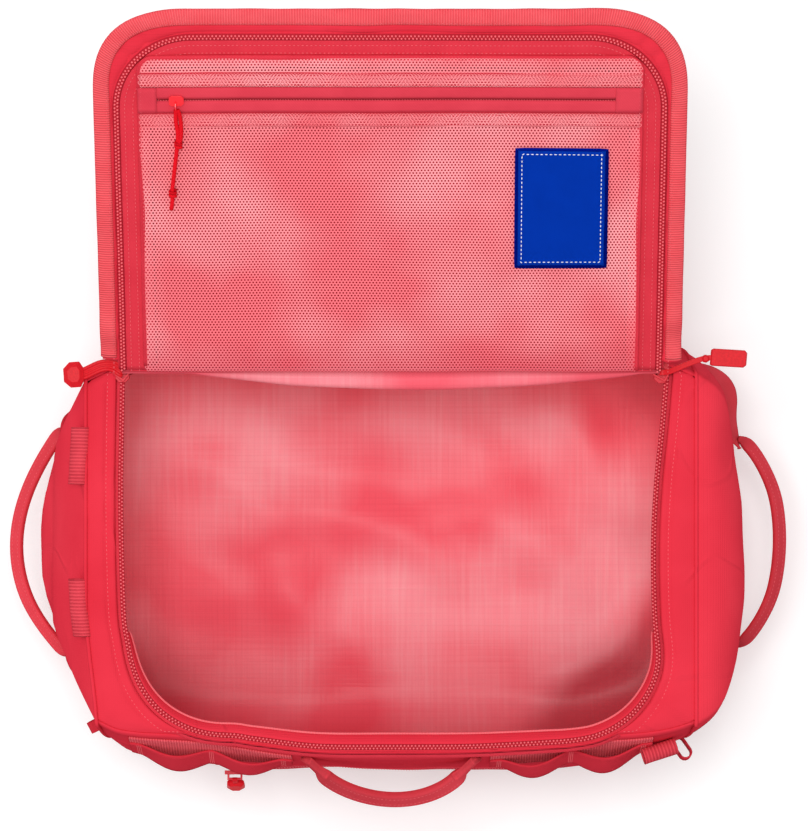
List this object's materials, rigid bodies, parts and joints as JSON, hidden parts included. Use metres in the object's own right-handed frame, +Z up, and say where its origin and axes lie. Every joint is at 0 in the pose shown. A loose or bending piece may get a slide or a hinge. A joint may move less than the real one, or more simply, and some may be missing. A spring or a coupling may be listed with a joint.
{
  "type": "bag",
  "caption": "Soft duffel bag with a U-zip lid folded back: coated fabric body, lined compartment, mesh lid pocket, webbing loops and carry handles",
  "frame": {"origin": "middle of the base where it rests on the floor", "axes": "+X along the bag's length to the right as seen from the front, +Y to the back where the lid is hinged, +Z up"},
  "size_m": [0.634, 0.5997, 0.4425],
  "materials": {
    "shell_fabric": "satin",
    "lining_fabric": "satin",
    "webbing": "matte",
    "binding": "matte",
    "zip_tape": "matte",
    "zip_teeth": "satin",
    "mesh": "matte",
    "label": "satin",
    "slider_metal": "satin",
    "pull_rubber": "satin",
    "cord": "matte",
    "foam": "matte"
  },
  "bodies": {
    "bag": {"base_panel": "shell_fabric", "base_pad": "foam", "front_panel": "shell_fabric", "back_panel": "shell_fabric", "left_end_panel": "shell_fabric", "right_end_panel": "shell_fabric", "top_frame": "shell_fabric", "hinge_strip": "shell_fabric", "lining": "lining_fabric", "body_zip_tape": "zip_tape", "body_zip_teeth": "zip_teeth", "front_webbing": "webbing", "back_webbing": "webbing", "front_lash_loops": "webbing", "back_lash_loops": "webbing", "front_handle_tabs": "webbing", "back_handle_tabs": "webbing", "left_end_straps": "webbing", "right_end_straps": "webbing", "left_strap_sleeves": "webbing", "front_strap_sleeve": "webbing", "corner_loops": "webbing", "front_pocket_tape": "zip_tape", "front_pocket_teeth": "zip_teeth"},
    "lid": {"lid_panel": "shell_fabric", "lid_binding": "binding", "lid_lining": "lining_fabric", "lid_zip_tape": "zip_tape", "lid_zip_teeth": "zip_teeth", "mesh_edge": "binding", "mesh_upper": "mesh", "mesh_lower": "mesh", "mesh_zip_trim": "binding", "pocket_tape": "zip_tape", "pocket_teeth": "zip_teeth", "pocket_end_patches": "zip_tape", "label_patch": "label"},
    "left_slider": {"left_slider": "slider_metal"},
    "left_pull": {"left_pull": "pull_rubber"},
    "right_slider": {"right_slider": "slider_metal"},
    "right_pull": {"right_pull": "pull_rubber"},
    "pocket_slider": {"pocket_slider": "slider_metal", "pocket_cord": "cord"},
    "front_slider": {"front_slider": "slider_metal"},
    "front_pull": {"front_pull": "pull_rubber"},
    "front_handle": {"front_handle": "webbing"},
    "back_handle": {"back_handle": "webbing"},
    "left_handle": {"left_handle": "webbing"},
    "right_handle": {"right_handle": "webbing"}
  },
  "joints": [
    {"name": "lid_fold", "type": "hinge", "parent": "bag", "child": "lid", "pos_m": [0, 0.138, 0.293], "axis": [-1, 0, 0], "range_deg": [-150, 50]},
    {"name": "left_zip", "type": "slide", "parent": "bag", "child": "left_slider", "axis": [0, -1, 0], "range_m": [0, 0.175]},
    {"name": "left_pull_swing", "type": "hinge", "parent": "left_slider", "child": "left_pull", "pos_m": [-0.207, 0.125, 0.2854], "axis": [0, 1, 0], "range_deg": [0, 140]},
    {"name": "right_zip", "type": "slide", "parent": "bag", "child": "right_slider", "axis": [0, -1, 0], "range_m": [0, 0.175]},
    {"name": "right_pull_swing", "type": "hinge", "parent": "right_slider", "child": "right_pull", "pos_m": [0.207, 0.125, 0.2854], "axis": [0, -1, 0], "range_deg": [0, 140]},
    {"name": "pocket_zip", "type": "slide", "parent": "lid", "child": "pocket_slider", "axis": [1, 0, 0], "range_m": [0, 0.3]},
    {"name": "front_zip", "type": "slide", "parent": "bag", "child": "front_slider", "axis": [1, 0, 0], "range_m": [0, 0.25]},
    {"name": "front_pull_swing", "type": "hinge", "parent": "front_slider", "child": "front_pull", "pos_m": [-0.125, -0.18703, 0.19118], "axis": [-1, 0, 0], "range_deg": [0, 150]},
    {"name": "front_handle_swing", "type": "hinge", "parent": "bag", "child": "front_handle", "pos_m": [0, -0.17437, 0.25], "axis": [-1, 0, 0], "range_deg": [-35, 115]},
    {"name": "back_handle_swing", "type": "hinge", "parent": "bag", "child": "back_handle", "pos_m": [0, 0.17437, 0.25], "axis": [-1, 0, 0], "range_deg": [-150, 0]},
    {"name": "left_handle_swing", "type": "hinge", "parent": "bag", "child": "left_handle", "pos_m": [-0.26889, 0, 0.14], "axis": [0, 1, 0], "range_deg": [-35, 75]},
    {"name": "right_handle_swing", "type": "hinge", "parent": "bag", "child": "right_handle", "pos_m": [0.29044, 0, 0.14], "axis": [0, -1, 0], "range_deg": [-50, 95]}
  ]
}
